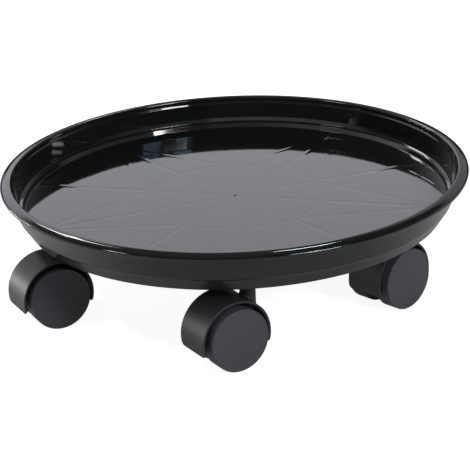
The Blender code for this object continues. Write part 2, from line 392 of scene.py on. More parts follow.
@dataclass(frozen=True)
class GlossPolypropylene:
    """Black polypropylene, injection moulded: polished on the side that holds the pot.

    The polished side mirrors what is around it, with a slow waviness from shrinking in the mould.
    The outside and the underside come from a blasted mould half, so they only gleam.
    """

    name: str = "gloss_black_polypropylene"
    colour: str = "#131412"
    ior: float = 1.49
    polished_roughness: float = 0.05
    satin_roughness: float = 0.26
    parting_radius: float = 178.35 * MM
    parting_height: float = 84.6 * MM
    parting_flare: float = 0.33
    parting_softness: float = 0.6 * MM
    lip_height: float = 97.6 * MM
    lip_softness: float = 0.4 * MM
    underside_height: float = 75.9 * MM
    underside_softness: float = 0.5 * MM
    wave_length: float = 55 * MM
    wave_height: float = 0.16 * MM
    peel_size: float = 2.4 * MM
    peel_height: float = 0.0012 * MM
    # Blasting is really about 0.1 mm apart. It is drawn coarser, so that it shows.
    blast_size: float = 0.7 * MM
    blast_height: float = 0.006 * MM
    haze_size: float = 30 * MM

    def material(self) -> bpy.types.Material:
        """Build the material.

        Returns:
            The material.
        """
        material, tree, shader = new_surface(self.name)
        shader.inputs["Base Color"].default_value = linear(self.colour)
        shader.inputs["IOR"].default_value = self.ior
        where = add_node(tree, "ShaderNodeTexCoord").outputs["Object"]
        outside = self._outside(tree, where)
        haze = add_node(tree, "ShaderNodeTexNoise", {"Vector": where, "Scale": 1 / self.haze_size})
        sides = []
        for middle, spread in ((self.polished_roughness, 0.4), (self.satin_roughness, 0.1)):
            limits = {"To Min": middle * (1 - spread), "To Max": middle * (1 + spread)}
            side = add_node(tree, "ShaderNodeMapRange", {"Value": haze.outputs["Fac"], **limits})
            sides.append(side.outputs["Result"])
        roughness = add_node(tree, "ShaderNodeMix", {"Factor": outside, "A": sides[0], "B": sides[1]})
        tree.links.new(roughness.outputs["Result"], shader.inputs["Roughness"])
        reliefs = (
            (self.wave_length, 1.0, self.wave_height, 1.0),
            (self.peel_size, 1.0, self.peel_height, 1.0),
            (self.blast_size, 2.0, self.blast_height, outside),
        )
        relief: dict[str, Any] = {}
        for size, detail, height, strength in reliefs:
            pattern = {"Vector": where, "Scale": 1 / size, "Detail": detail}
            noise = add_node(tree, "ShaderNodeTexNoise", pattern)
            relief |= {"Height": noise.outputs["Fac"], "Distance": height, "Strength": strength}
            relief["Normal"] = add_node(tree, "ShaderNodeBump", relief).outputs["Normal"]
        tree.links.new(relief["Normal"], shader.inputs["Normal"])
        return material

    def _outside(self, tree: bpy.types.NodeTree, where: bpy.types.NodeSocket) -> bpy.types.NodeSocket:
        """Say how far a point is on the blasted side, from 0 to 1.

        Args:
            tree: the node tree.
            where: the point in object space.

        Returns:
            The socket with the answer.
        """
        axes = add_node(tree, "ShaderNodeSeparateXYZ", {"Vector": where})
        height = axes.outputs["Z"]
        flat = add_node(tree, "ShaderNodeCombineXYZ", {"X": axes.outputs["X"], "Y": axes.outputs["Y"]})
        radius = add_node(tree, "ShaderNodeVectorMath", {0: flat.outputs[0]}, operation="LENGTH")
        above = add_node(tree, "ShaderNodeMath", {0: height, 1: self.parting_height}, operation="SUBTRACT")
        line = {0: above.outputs[0], 1: self.parting_flare, 2: self.parting_radius}
        parting = add_node(tree, "ShaderNodeMath", line, operation="MULTIPLY_ADD")
        gap = {0: radius.outputs["Value"], 1: parting.outputs[0]}
        past = add_node(tree, "ShaderNodeMath", gap, operation="SUBTRACT")
        ranges = (
            (past.outputs[0], -self.parting_softness, self.parting_softness),
            (height, self.lip_height + self.lip_softness, self.lip_height - self.lip_softness),
            (
                height,
                self.underside_height + self.underside_softness,
                self.underside_height - self.underside_softness,
            ),
        )
        beyond, under_lip, below = (
            add_node(tree, "ShaderNodeMapRange", {"Value": value, "From Min": start, "From Max": end})
            for value, start, end in ranges
        )
        both = {0: beyond.outputs[0], 1: under_lip.outputs[0]}
        outer_wall = add_node(tree, "ShaderNodeMath", both, operation="MINIMUM")
        either = {0: outer_wall.outputs[0], 1: below.outputs[0]}
        return add_node(tree, "ShaderNodeMath", either, operation="MAXIMUM").outputs[0]


@dataclass(frozen=True)
class GrainedNylon:
    """Dyed nylon, injection moulded in a spark-eroded mould: a fine even grain that kills the gloss."""

    name: str
    colour: str
    roughness: float
    ior: float = 1.53
    # A spark-eroded grain is about 0.1 mm across. It is drawn coarser, so that it shows.
    grain_size: float = 0.55 * MM
    grain_height: float = 0.02 * MM
    roughness_spread: float = 0.06
    mottle_size: float = 9 * MM
    mottle: float = 0.1

    def material(self) -> bpy.types.Material:
        """Build the material.

        Returns:
            The material.
        """
        material, tree, shader = new_surface(self.name)
        shader.inputs["IOR"].default_value = self.ior
        where = add_node(tree, "ShaderNodeTexCoord").outputs["Object"]
        mottle, grain = (
            add_node(tree, "ShaderNodeTexNoise", {"Vector": where, "Scale": 1 / size, "Detail": detail})
            for size, detail in ((self.mottle_size, 4.0), (self.grain_size, 2.0))
        )
        dark, light = (
            tuple(value * share for value in linear(self.colour)[:3]) + (1.0,)
            for share in (1 - self.mottle, 1 + self.mottle)
        )
        shades = {"Factor": mottle.outputs["Fac"], "A": dark, "B": light}
        colour = add_node(tree, "ShaderNodeMix", shades, data_type="RGBA")
        tree.links.new(colour.outputs["Result"], shader.inputs["Base Color"])
        spread = self.roughness_spread
        limits = {"To Min": self.roughness - spread, "To Max": self.roughness + spread}
        roughness = add_node(tree, "ShaderNodeMapRange", {"Value": grain.outputs["Fac"], **limits})
        tree.links.new(roughness.outputs["Result"], shader.inputs["Roughness"])
        relief = {"Height": grain.outputs["Fac"], "Distance": self.grain_height}
        bump = add_node(tree, "ShaderNodeBump", relief)
        tree.links.new(bump.outputs["Normal"], shader.inputs["Normal"])
        return material


@dataclass(frozen=True)
class TurnedSteel:
    """Steel turned on an automatic lathe: bright zinc plate, or dark spring steel, with fine scratches."""

    name: str
    colour: str
    roughness: float
    scratch_size: float = 0.5 * MM
    scratch_height: float = 0.004 * MM
    stretch: tuple[float, float, float] = (0.15, 0.15, 1.0)

    def material(self) -> bpy.types.Material:
        """Build the material.

        Returns:
            The material.
        """
        material, tree, shader = new_surface(self.name)
        shader.inputs["Base Color"].default_value = linear(self.colour)
        shader.inputs["Metallic"].default_value = 1.0
        where = add_node(tree, "ShaderNodeTexCoord").outputs["Object"]
        stretched = add_node(tree, "ShaderNodeMapping", {"Vector": where, "Scale": self.stretch})
        pattern = {"Vector": stretched.outputs["Vector"], "Scale": 1 / self.scratch_size, "Detail": 3.0}
        scratches = add_node(tree, "ShaderNodeTexNoise", pattern).outputs["Fac"]
        limits = {"To Min": 0.75 * self.roughness, "To Max": 1.25 * self.roughness}
        roughness = add_node(tree, "ShaderNodeMapRange", {"Value": scratches, **limits})
        tree.links.new(roughness.outputs["Result"], shader.inputs["Roughness"])
        relief = {"Height": scratches, "Distance": self.scratch_height}
        bump = add_node(tree, "ShaderNodeBump", relief)
        tree.links.new(bump.outputs["Normal"], shader.inputs["Normal"])
        return material


@dataclass
class Finishes:
    """The caddy's five materials, made once and shared."""

    dish: bpy.types.Material
    hood: bpy.types.Material
    wheel: bpy.types.Material
    zinc: bpy.types.Material
    spring: bpy.types.Material

    @classmethod
    def mix(cls) -> "Finishes":
        """Make all of them."""
        return cls(
            dish=GlossPolypropylene().material(),
            hood=GrainedNylon("matte_black_nylon", "#29292a", 0.46).material(),
            wheel=GrainedNylon("matte_charcoal_nylon", "#3b3c40", 0.6).material(),
            zinc=TurnedSteel("zinc_plated_steel", "#c6c8ca", 0.28).material(),
            spring=TurnedSteel("spring_steel", "#8f9296", 0.32).material(),
        )


def hand_over(
    piece: bpy.types.Object, material: bpy.types.Material, body: str, node: str
) -> None:
    """Finish a piece and give it to the frame.

    Args:
        piece: the finished mesh.
        material: its only material.
        body: the CAD body that it rides on.
        node: the CAD node that it stands for.
    """
    piece.data.materials.clear()
    piece.data.materials.append(material)
    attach(piece, body)
    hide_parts(node)
    log.info("%s: %d faces, rides on %s", piece.name, len(piece.data.polygons), body)


# The dish ----------------------------------------------------------------------------------------


@dataclass
class Dish:
    """The dish with its lip, skirt, ribs and stem sockets, one moulding.

    It is a tenth of a turn that is mirrored and repeated, with shallow sink marks in the floor over
    the ribs. Its 0 degrees are a castor's rib.
    """

    radius: float
    top: float
    socket_bottom: float
    stem_circle: float
    first_castor: float
    castors: int = 5
    floor_top: float = 77 * MM
    floor_thickness: float = 2.5 * MM
    floor_radius: float = 171.3 * MM
    gate_radius: float = 1.5 * MM
    gate_depth: float = 0.3 * MM
    ring_rib_radius: float = 72 * MM
    ring_rib_height: float = 4.6 * MM
    star_rib_height: float = 4.2 * MM
    skirt_bottom: float = 67.5 * MM
    skirt_radius: float = 170.2 * MM
    skirt_thickness: float = 2.2 * MM
    rib_thickness: float = 2 * MM
    rib_height: float = 5 * MM
    rib_softening: float = 0.4 * MM
    socket_radius: float = 9.6 * MM
    socket_bore: float = 4.4 * MM
    socket_bore_top: float = 74.4 * MM
    socket_flare: float = 0.8 * MM
    hub_radius: float = 8 * MM
    hub_height: float = 5.4 * MM
    sink_half_width: float = 3.2 * MM
    sink_depth: float = 0.075 * MM
    sink_steps: int = 4
    wedge_steps: int = 24

    @property
    def wedge(self) -> float:
        """The angle of one tenth of the dish, from a castor's rib to the rib between two castors."""
        return math.pi / self.castors

    def _outline(self) -> list[tuple[float, float]]:
        """Work out the section, from the gate mark at the middle over the lip to the underside."""
        gate_bottom = self.floor_top - self.gate_depth
        floor = [Corner(0, gate_bottom), Corner(self.gate_radius / 2, gate_bottom)]
        floor.append(Corner(self.gate_radius, self.floor_top))
        for step in range(-self.sink_steps, self.sink_steps + 1):
            across = self.sink_half_width * step / self.sink_steps
            floor.append(Corner(self.ring_rib_radius + across, self.floor_top))
        floor.append(Corner(self.floor_radius - 6 * MM, self.floor_top))
        wall = [
            Corner(self.floor_radius, self.floor_top, 0.6 * MM),
            Corner(173.1 * MM, 80.825 * MM, 0.5 * MM),
            Corner(175.8 * MM, 81.3 * MM, 1.0 * MM),
            Corner(177 * MM, 84.8 * MM, 1.4 * MM),
            Corner(179.6 * MM, 97.2 * MM, 1 * MM),
            Corner(180.4 * MM, 98.4 * MM, 1 * MM),
            Corner(181.1 * MM, self.top + 0.185 * MM, 1.6 * MM),
            Corner(185.6 * MM, self.top - 0.4 * MM, 6 * MM),
            Corner(188.7 * MM, self.top - 1.25 * MM, 4 * MM),
            Corner(self.radius, self.top - 2.6 * MM, 1.5 * MM),
            Corner(self.radius, self.top - 5.2 * MM, 1.5 * MM),
            Corner(184.8 * MM, self.top - 5.2 * MM, 0.8 * MM),
            Corner(177.3 * MM, 78.6 * MM, 0.25 * MM),
            Corner(176.4 * MM, 77.7 * MM, 0.25 * MM),
            Corner(self.skirt_radius, self.skirt_bottom, 0.6 * MM),
            Corner(self.skirt_radius - self.skirt_thickness, self.skirt_bottom, 0.6 * MM),
            Corner(self.floor_radius, self.floor_top - self.floor_thickness, 0.8 * MM),
        ]
        return rounded([*floor, *wall, Corner(0, self.floor_top - self.floor_thickness)])

    def _star_ends(self) -> tuple[Vector, Vector]:
        """Give a star rib's ends: on the ring rib between two castors, and on the skirt at a castor."""
        start = Vector((math.cos(self.wedge), math.sin(self.wedge), 0)) * self.ring_rib_radius
        return start, Vector((self.skirt_radius - self.skirt_thickness, 0, 0))

    def _sink(self, x: float, y: float) -> float:
        """Work out how deep the floor has sunk at a point of the first tenth.

        Args:
            x: the point's X.
            y: the point's Y, on either side of the castor's rib.

        Returns:
            The depth below the flat floor.
        """
        point = Vector((x, abs(y), 0))
        start, end = self._star_ends()
        along = (end - start).normalized()
        distances = (
            point.y,
            point.cross(start.normalized()).length,
            (point - start).cross(along).length,
            abs(point.length - self.ring_rib_radius),
        )
        nearest = min(distances) / self.sink_half_width
        # The floor shrinks more towards its edge.
        depth = self.sink_depth * (0.6 + (point.length / self.floor_radius) ** 3)
        return depth * (1 - nearest**2) ** 2 if nearest < 1 else 0.0

    def _on_floor(self, face: bmesh.types.BMFace) -> bool:
        """Whether a face is part of the flat floor, outside the gate mark."""
        return all(abs(vertex.co.z - self.floor_top) < 0.1 * MM for vertex in face.verts)

    def _cut_floor(self, through: Vector, along: Vector, offsets: Sequence[float]) -> None:
        """Cut the floor's faces along parallel lines.

        Args:
            through: a point of the middle line.
            along: that line's direction.
            offsets: how far each cut is from the middle line.
        """
        across = Vector((-along.y, along.x, 0)).normalized()
        for offset in offsets:
            pick(Element.FACES, self._on_floor)
            point = through + across * offset
            bpy.ops.mesh.bisect(plane_co=point, plane_no=across, threshold=MERGE_DISTANCE)

    def _shell(self) -> bpy.types.Object:
        """Make the dish without its ribs: spin a tenth, cut and sink its floor, mirror and repeat it."""
        outline = self._outline()
        deselect()
        bpy.ops.mesh.primitive_plane_add(size=MM)
        piece = named("tray_fine")
        with editing(piece):
            bpy.ops.mesh.merge(type="CENTER")
            bpy.ops.transform.translate(value=(outline[0][0], 0, outline[0][1]))
            here = Vector((outline[0][0], 0, outline[0][1]))
            for radius, height in outline[1:]:
                there = Vector((radius, 0, height))
                bpy.ops.mesh.extrude_region_move(TRANSFORM_OT_translate={"value": there - here})
                here = there
            bpy.ops.mesh.select_all(action="SELECT")
            spin(self.wedge_steps, self.wedge, (0, 0, 1))
            bpy.ops.mesh.select_all(action="SELECT")
            bpy.ops.mesh.remove_doubles(threshold=MERGE_DISTANCE)
            self._sink_floor()
            bpy.ops.mesh.select_all(action="SELECT")
            bpy.ops.mesh.duplicate()
            bpy.ops.transform.resize(value=(1, -1, 1), center_override=(0, 0, 0))
            bpy.ops.mesh.select_all(action="SELECT")
            others = self.castors - 1
            spin(others, others * 2 * self.wedge, (0, 0, 1), copies=True)
            close_up()
        return piece

    def _sink_floor(self) -> None:
        """Cut the open tenth's floor along its rib lines and let it sink there."""
        steps = [self.sink_half_width * step / self.sink_steps for step in range(1, self.sink_steps + 1)]
        start, end = self._star_ends()
        self._cut_floor(Vector((0, 0, 0)), Vector((1, 0, 0)), steps)
        self._cut_floor(Vector((0, 0, 0)), start, [-step for step in steps])
        self._cut_floor(start, end - start, [0, *steps, *(-step for step in steps)])
        mesh = bpy.context.edit_object.data
        form = bmesh.from_edit_mesh(mesh)
        for vertex in form.verts:
            if abs(vertex.co.z - self.floor_top) < MERGE_DISTANCE:
                vertex.co.z -= self._sink(vertex.co.x, vertex.co.y)
        bmesh.update_edit_mesh(mesh)

    def _rib(self, start: Vector, end: Vector, height: float, inside: float) -> bpy.types.Object:
        """Make one straight rib under the floor.

        Args:
            start: one end in the ground plane.
            end: the other end.
            height: how far it stands out below the floor.
            inside: how far it reaches into the floor, and past its ends.

        Returns:
            The rib, a little way inside the floor.
        """
        along = end - start
        size = (along.length + 2 * inside, self.rib_thickness, height + inside)
        middle = (start + end) / 2
        middle.z = self.floor_top - self.floor_thickness + (inside - height) / 2
        heading = Matrix.Rotation(math.atan2(along.y, along.x), 4, "Z")
        return block("rib", size, Matrix.Translation(middle) @ heading, self.rib_softening)

    def _ribs(self) -> list[bpy.types.Object]:
        """Make the hub, the ribs and the sockets under the floor.

        Their tops are inside the floor, each kind at a height of its own, so that no two faces of
        different kinds lie in one plane.
        """
        underside = self.floor_top - self.floor_thickness
        ring_top, hub_top, socket_top = (underside + height * MM for height in (1.15, 1.3, 1.45))
        ring_bottom = underside - self.ring_rib_height
        half = self.rib_thickness / 2
        ring = [
            Corner(self.ring_rib_radius + half, ring_top),
            Corner(self.ring_rib_radius + half, ring_bottom, self.rib_softening),
            Corner(self.ring_rib_radius - half, ring_bottom, self.rib_softening),
            Corner(self.ring_rib_radius - half, ring_top),
        ]
        hub_bottom = underside - self.hub_height
        hub = [
            Corner(self.hub_radius, hub_top),
            Corner(self.hub_radius, hub_bottom, 0.6 * MM),
            Corner(self.hub_radius / 2, hub_bottom),
        ]
        made = [turn("hub", rounded(hub, 3), 48), turn("ring_rib", rounded(ring, 2), 96, hollow=True)]
        star_start, star_end = self._star_ends()
        middle = Vector((2 * MM, 0, 0))
        for index in range(2 * self.castors):
            heading = Matrix.Rotation(index * self.wedge, 3, "Z")
            made.append(self._rib(heading @ middle, heading @ star_end, self.rib_height, 1 * MM))
        for index in range(self.castors):
            heading = Matrix.Rotation(2 * index * self.wedge, 3, "Z")
            for side in (-1, 1):
                start = heading @ Vector((star_start.x, side * star_start.y, 0))
                made.append(self._rib(start, heading @ star_end, self.star_rib_height, 0.85 * MM))
            socket = [
                Corner(self.socket_radius, socket_top),
                Corner(self.socket_radius, self.socket_bottom, 0.8 * MM),
                Corner(self.socket_radius / 2, self.socket_bottom),
            ]
            stem_place = Matrix.Translation(heading @ Vector((self.stem_circle, 0, 0)))
            made.append(place(turn("socket", rounded(socket, 3), 48), stem_place))
        return made

    def _bores(self) -> list[bpy.types.Object]:
        """Make the cutters for the stems' blind bores, flared at the mouth."""
        made = []
        for index in range(self.castors):
            past = 1 * MM
            bore = [
                (self.socket_bore, self.socket_bore_top),
                (self.socket_bore, self.socket_bottom + self.socket_flare),
                (self.socket_bore + self.socket_flare + past, self.socket_bottom - past),
            ]
            heading = Matrix.Rotation(2 * index * self.wedge, 3, "Z")
            stem_place = Matrix.Translation(heading @ Vector((self.stem_circle, 0, 0)))
            made.append(place(turn("bore", bore, 48), stem_place))
        return made

    def build(self, finishes: Finishes) -> None:
        """Make the dish and hand it over.

        Args:
            finishes: the caddy's materials.
        """
        hub, *others = self._ribs()
        combine(hub, Operation.JOIN, others)
        combine(hub, Operation.CUT, self._bores())
        piece = self._shell()
        select_only(piece)
        hub.select_set(True)
        bpy.ops.object.join()
        shade(piece, 28)
        place(piece, Matrix.Rotation(self.first_castor, 4, "Z"))
        hand_over(piece, finishes.dish, "dish", "tray")


# The castors -------------------------------------------------------------------------------------


@dataclass
class Hood:
    """A castor's hood: a drum over both wheels, a web between them, a neck and an axle boss.

    Its frame has its origin under the stem, X along the axle, and the wheels behind it at -Y.
    The drum's two ends are in degrees about the axle, from the neck's side.
    """

    trail: float
    axle_height: float
    radius: float = 30.2 * MM
    thickness: float = 2.2 * MM
    width: float = 33 * MM
    neck_end: float = -20
    trail_end: float = 196
    steps: int = 60
    corner: float = 3.4 * MM
    rim_softening: float = 0.4 * MM
    rim_bevel: float = 1.2 * MM
    web_thickness: float = 3 * MM
    boss_radius: float = 6 * MM
    boss_width: float = 13.2 * MM
    neck_radius: float = 6.2 * MM
    neck_bottom: float = 32 * MM
    neck_top: float = 59 * MM
    fillet: float = 2.2 * MM
    stem_bore: float = 4.2 * MM
    stem_bore_bottom: float = 36.2 * MM
    axle_bore: float = 3.2 * MM

    @property
    def axle(self) -> Vector:
        """The axle's middle."""
        return Vector((0, -self.trail, self.axle_height))

    def _drum(self) -> bpy.types.Object:
        """Spin the drum's section about the axle, add its straight ends, and round its corners."""
        straight = self.corner + 0.2 * MM
        ease = math.degrees(straight / self.radius)
        start, end = self.neck_end + ease, self.trail_end - ease
        deselect()
        bpy.ops.mesh.primitive_plane_add(size=1)
        piece = named("hood")
        middle_radius = self.radius - self.thickness / 2
        section = Matrix.Translation((0, middle_radius, 0))
        section @= Matrix.Diagonal((self.width, self.thickness, 1, 1))
        place(piece, Matrix.Rotation(math.radians(start), 4, "X") @ section)
        with editing(piece):
            spin(self.steps, math.radians(end - start), (1, 0, 0))
            for degrees, way in ((start, -1), (end, 1)):
                angle = math.radians(degrees)
                outward = Vector((0, math.cos(angle), math.sin(angle)))
                ahead = Vector((0, -math.sin(angle), math.cos(angle))) * way
                pick(
                    Element.FACES,
                    lambda face: abs(face.normal.dot(ahead)) > 0.99
                    and (face.calc_center_median() - outward * middle_radius).length < 0.1 * MM,
                )
                bpy.ops.mesh.extrude_region_move(TRANSFORM_OT_translate={"value": ahead * straight})
            close_up()
            pick(Element.EDGES, self._is_corner)
            bpy.ops.mesh.bevel(offset=self.corner, segments=5, affect="EDGES")
            for side, width in ((-1, self.rim_bevel), (1, self.rim_softening)):
                pick(
                    Element.EDGES,
                    lambda edge: edge.calc_face_angle(0) > math.radians(60)
                    and all((vertex.co.yz.length - middle_radius) * side > 0 for vertex in edge.verts),
                )
                bpy.ops.mesh.bevel(offset=width, segments=2, affect="EDGES")
        return place(piece, Matrix.Translation(self.axle))

    def _is_corner(self, edge: bmesh.types.BMEdge) -> bool:
        """Whether an edge is one of the four short ones at the corners of the drum's two ends."""
        first, last = (vertex.co for vertex in edge.verts)
        at_side = abs(abs(first.x) - self.width / 2) < 0.01 * MM and abs(first.x - last.x) < 0.01 * MM
        through = abs((first - last).length - self.thickness) < 0.05 * MM
        return at_side and through and edge.calc_face_angle(0) > math.radians(60)

    def _web(self) -> bpy.types.Object:
        """Make the half disc between the wheels."""
        deselect()
        quarter = math.pi / 2
        bpy.ops.mesh.primitive_circle_add(
            vertices=72, radius=self.radius - self.thickness / 2, fill_type="NGON", rotation=(0, quarter, 0)
        )
        piece = named("web")
        bpy.ops.object.transform_apply(rotation=True)
        with editing(piece):
            bpy.ops.mesh.bisect(plane_co=(0, 0, 0), plane_no=(0, 0, 1), clear_inner=True)
            bpy.ops.mesh.select_all(action="SELECT")
            bpy.ops.transform.translate(value=(-self.web_thickness / 2, 0, 0))
            bpy.ops.mesh.extrude_region_move(TRANSFORM_OT_translate={"value": (self.web_thickness, 0, 0)})
            close_up()
        return place(piece, Matrix.Translation(self.axle))

    def _drum_top(self, y: float) -> float:
        """Give the height of the drum's outer surface at a place along Y."""
        reach = min(abs(y + self.trail), self.radius)
        return self.axle_height + math.sqrt(self.radius**2 - reach**2)

    def _neck(self) -> bpy.types.Object:
        """Make the neck, whose foot flares out and follows the drum."""
        arc_steps = 5
        # Until the foot is laid on the drum, its rings stand one above the other, a millimetre apart.
        first_ring = self.neck_bottom + 8 * MM
        edge = 0.7 * MM
        rings = []
        for step in range(arc_steps + 1):
            angle = math.pi / 2 * step / arc_steps
            rings.append((self.fillet * (1 - math.cos(angle)), self.fillet * (1 - math.sin(angle))))
        rings.append((self.fillet + 0.2 * MM, -0.6 * MM))
        # Below its foot the neck draws in within the drum's wall, clear of the wheels.
        rings.append((-0.2 * MM, -1.6 * MM))
        outline = [
            (self.neck_radius - 2 * edge, self.neck_top),
            (self.neck_radius - edge, self.neck_top),
            (self.neck_radius, self.neck_top - edge),
            *((self.neck_radius + flare, first_ring - index * MM) for index, (flare, _) in enumerate(rings)),
            (self.neck_radius - 0.2 * MM, self.neck_bottom - 1 * MM),
        ]
        piece = turn("neck", outline, 64)
        with editing(piece):
            mesh = bpy.context.edit_object.data
            form = bmesh.from_edit_mesh(mesh)
            for vertex in form.verts:
                index = round((first_ring - vertex.co.z) / MM)
                if 0 <= index < len(rings):
                    vertex.co.z = self._drum_top(vertex.co.y) + rings[index][1]
            bmesh.update_edit_mesh(mesh)
        return piece

    def build(self) -> bpy.types.Object:
        """Make one hood in its castor's frame.

        Returns:
            The hood.
        """
        quarter_turn = Matrix.Rotation(math.pi / 2, 4, "Y")
        across = Matrix.Translation(self.axle) @ quarter_turn
        half = self.boss_width / 2
        boss = [
            (self.boss_radius - 0.5 * MM, half),
            (self.boss_radius, half - 0.5 * MM),
            (self.boss_radius, 0.5 * MM - half),
            (self.boss_radius - 0.5 * MM, -half),
        ]
        axle_bore = [(self.axle_bore, half + 1 * MM), (self.axle_bore, -half - 1 * MM)]
        stem_bore = [(self.stem_bore, self.neck_top + 1 * MM), (self.stem_bore, self.stem_bore_bottom)]
        piece = self._drum()
        joined = [self._web(), self._neck(), place(turn("boss", boss, 48), across)]
        combine(piece, Operation.JOIN, joined)
        cut = [place(turn("axle_bore", axle_bore, 48), across), turn("stem_bore", stem_bore, 48)]
        combine(piece, Operation.CUT, cut)
        shade(piece, 35)
        return piece


@dataclass
class Wheel:
    """A castor wheel: a closed face with a raised rim, a plain tread, and a cup with a hub inside.

    Its frame has its origin in the hood's middle plane and Z along the axle, out of the face.
    """

    radius: float
    inner_face: float = 7.2 * MM
    outer_face: float = 21 * MM
    rim_width: float = 1.3 * MM
    rim_rise: float = 0.25 * MM
    edge_rounding: float = 0.5 * MM
    wall: float = 2.4 * MM
    disc: float = 2.5 * MM
    hub_radius: float = 5.6 * MM
    bore_radius: float = 3.2 * MM
    bore_end: float = 17.4 * MM
    segments: int = 96

    def build(self) -> bpy.types.Object:
        """Make one wheel in its own frame.

        Returns:
            The wheel.
        """
        face = self.outer_face - self.rim_rise
        gate_radius = 1.1 * MM
        cup = self.radius - self.wall
        disc = self.outer_face - self.disc
        corners = [
            Corner(gate_radius * 0.6, face - 0.2 * MM),
            Corner(gate_radius, face, 0.05 * MM),
            Corner(self.radius - self.rim_width - 0.3 * MM, face, 0.1 * MM),
            Corner(self.radius - self.rim_width, self.outer_face, 0.15 * MM),
            Corner(self.radius, self.outer_face, self.edge_rounding),
            Corner(self.radius, self.inner_face, 0.7 * MM),
            Corner(cup, self.inner_face, 0.4 * MM),
            Corner(cup - 0.3 * MM, disc, 0.8 * MM),
            Corner(self.hub_radius + 0.2 * MM, disc, 0.8 * MM),
            Corner(self.hub_radius, self.inner_face, 0.4 * MM),
            Corner(self.bore_radius, self.inner_face, 0.3 * MM),
            Corner(self.bore_radius, self.bore_end),
        ]
        piece = turn("wheel", rounded(corners, 4), self.segments)
        shade(piece)
        return piece


@dataclass
class Stem:
    """The steel stem: rounded ends, a collar under the socket, and a groove for the grip ring."""

    radius: float = 4 * MM
    bottom: float = 36.6 * MM
    top: float = 74 * MM
    chamfer: float = 0.7 * MM
    collar_radius: float = 5.6 * MM
    collar_bottom: float = 59.3 * MM
    collar_top: float = 60.7 * MM
    groove_bottom: float = 68 * MM
    groove_width: float = 2 * MM
    groove_radius: float = 3.1 * MM

    def build(self) -> bpy.types.Object:
        """Make one stem in its castor's frame.

        Returns:
            The stem.
        """
        groove_top = self.groove_bottom + self.groove_width
        edge = 0.2 * MM
        corners = [
            Corner(self.radius / 2, self.top),
            Corner(self.radius - self.chamfer, self.top, edge),
            Corner(self.radius, self.top - self.chamfer, edge),
            Corner(self.radius, groove_top, edge),
            Corner(self.groove_radius, groove_top, edge),
            Corner(self.groove_radius, self.groove_bottom, edge),
            Corner(self.radius, self.groove_bottom, edge),
            Corner(self.radius, self.collar_top, edge),
            Corner(self.collar_radius, self.collar_top, edge),
            Corner(self.collar_radius, self.collar_bottom, edge),
            Corner(self.radius, self.collar_bottom, edge),
            Corner(self.radius, self.bottom + self.chamfer, edge),
            Corner(self.radius - self.chamfer, self.bottom, edge),
            Corner(self.radius / 2, self.bottom),
        ]
        piece = turn("stem", rounded(corners, 2), 48)
        shade(piece)
        return piece


@dataclass
class GripRing:
    """The split spring ring in the stem's groove."""

    inner_radius: float = 3.3 * MM
    outer_radius: float = 4.2 * MM
    bottom: float = 68.2 * MM
    height: float = 1.6 * MM
    turn_angle: float = 320
    softening: float = 0.15 * MM
    steps: int = 56

    def build(self) -> bpy.types.Object:
        """Spin the ring's section about the stem.

        Returns:
            The ring.
        """
        deselect()
        bpy.ops.mesh.primitive_plane_add(size=1)
        piece = named("grip_ring")
        upright = Matrix.Rotation(math.pi / 2, 4, "X")
        middle = Vector(((self.inner_radius + self.outer_radius) / 2, 0, self.bottom + self.height / 2))
        size = Matrix.Diagonal((self.outer_radius - self.inner_radius, self.height, 1, 1))
        place(piece, Matrix.Translation(middle) @ upright @ size)
        with editing(piece):
            spin(self.steps, math.radians(self.turn_angle), (0, 0, 1))
            close_up()
            pick(Element.EDGES, lambda edge: edge.calc_face_angle(0) > math.radians(60))
            bpy.ops.mesh.bevel(offset=self.softening, segments=2, affect="EDGES")
        shade(piece)
        return piece


@dataclass
class Axle:
    """The steel axle that carries both wheels, with chamfered ends. Its frame has Z along it."""

    radius: float = 3 * MM
    length: float = 34 * MM
    chamfer: float = 0.5 * MM

    def build(self) -> bpy.types.Object:
        """Make one axle in its own frame.

        Returns:
            The axle.
        """
        half = self.length / 2
        tip = self.radius - self.chamfer
        corners = [
            Corner(tip / 2, half),
            Corner(tip, half, 0.15 * MM),
            Corner(self.radius, half - self.chamfer, 0.15 * MM),
            Corner(self.radius, self.chamfer - half, 0.15 * MM),
            Corner(tip, -half, 0.15 * MM),
            Corner(tip / 2, -half),
        ]
        piece = turn("axle", rounded(corners, 2), 48)
        shade(piece)
        return piece


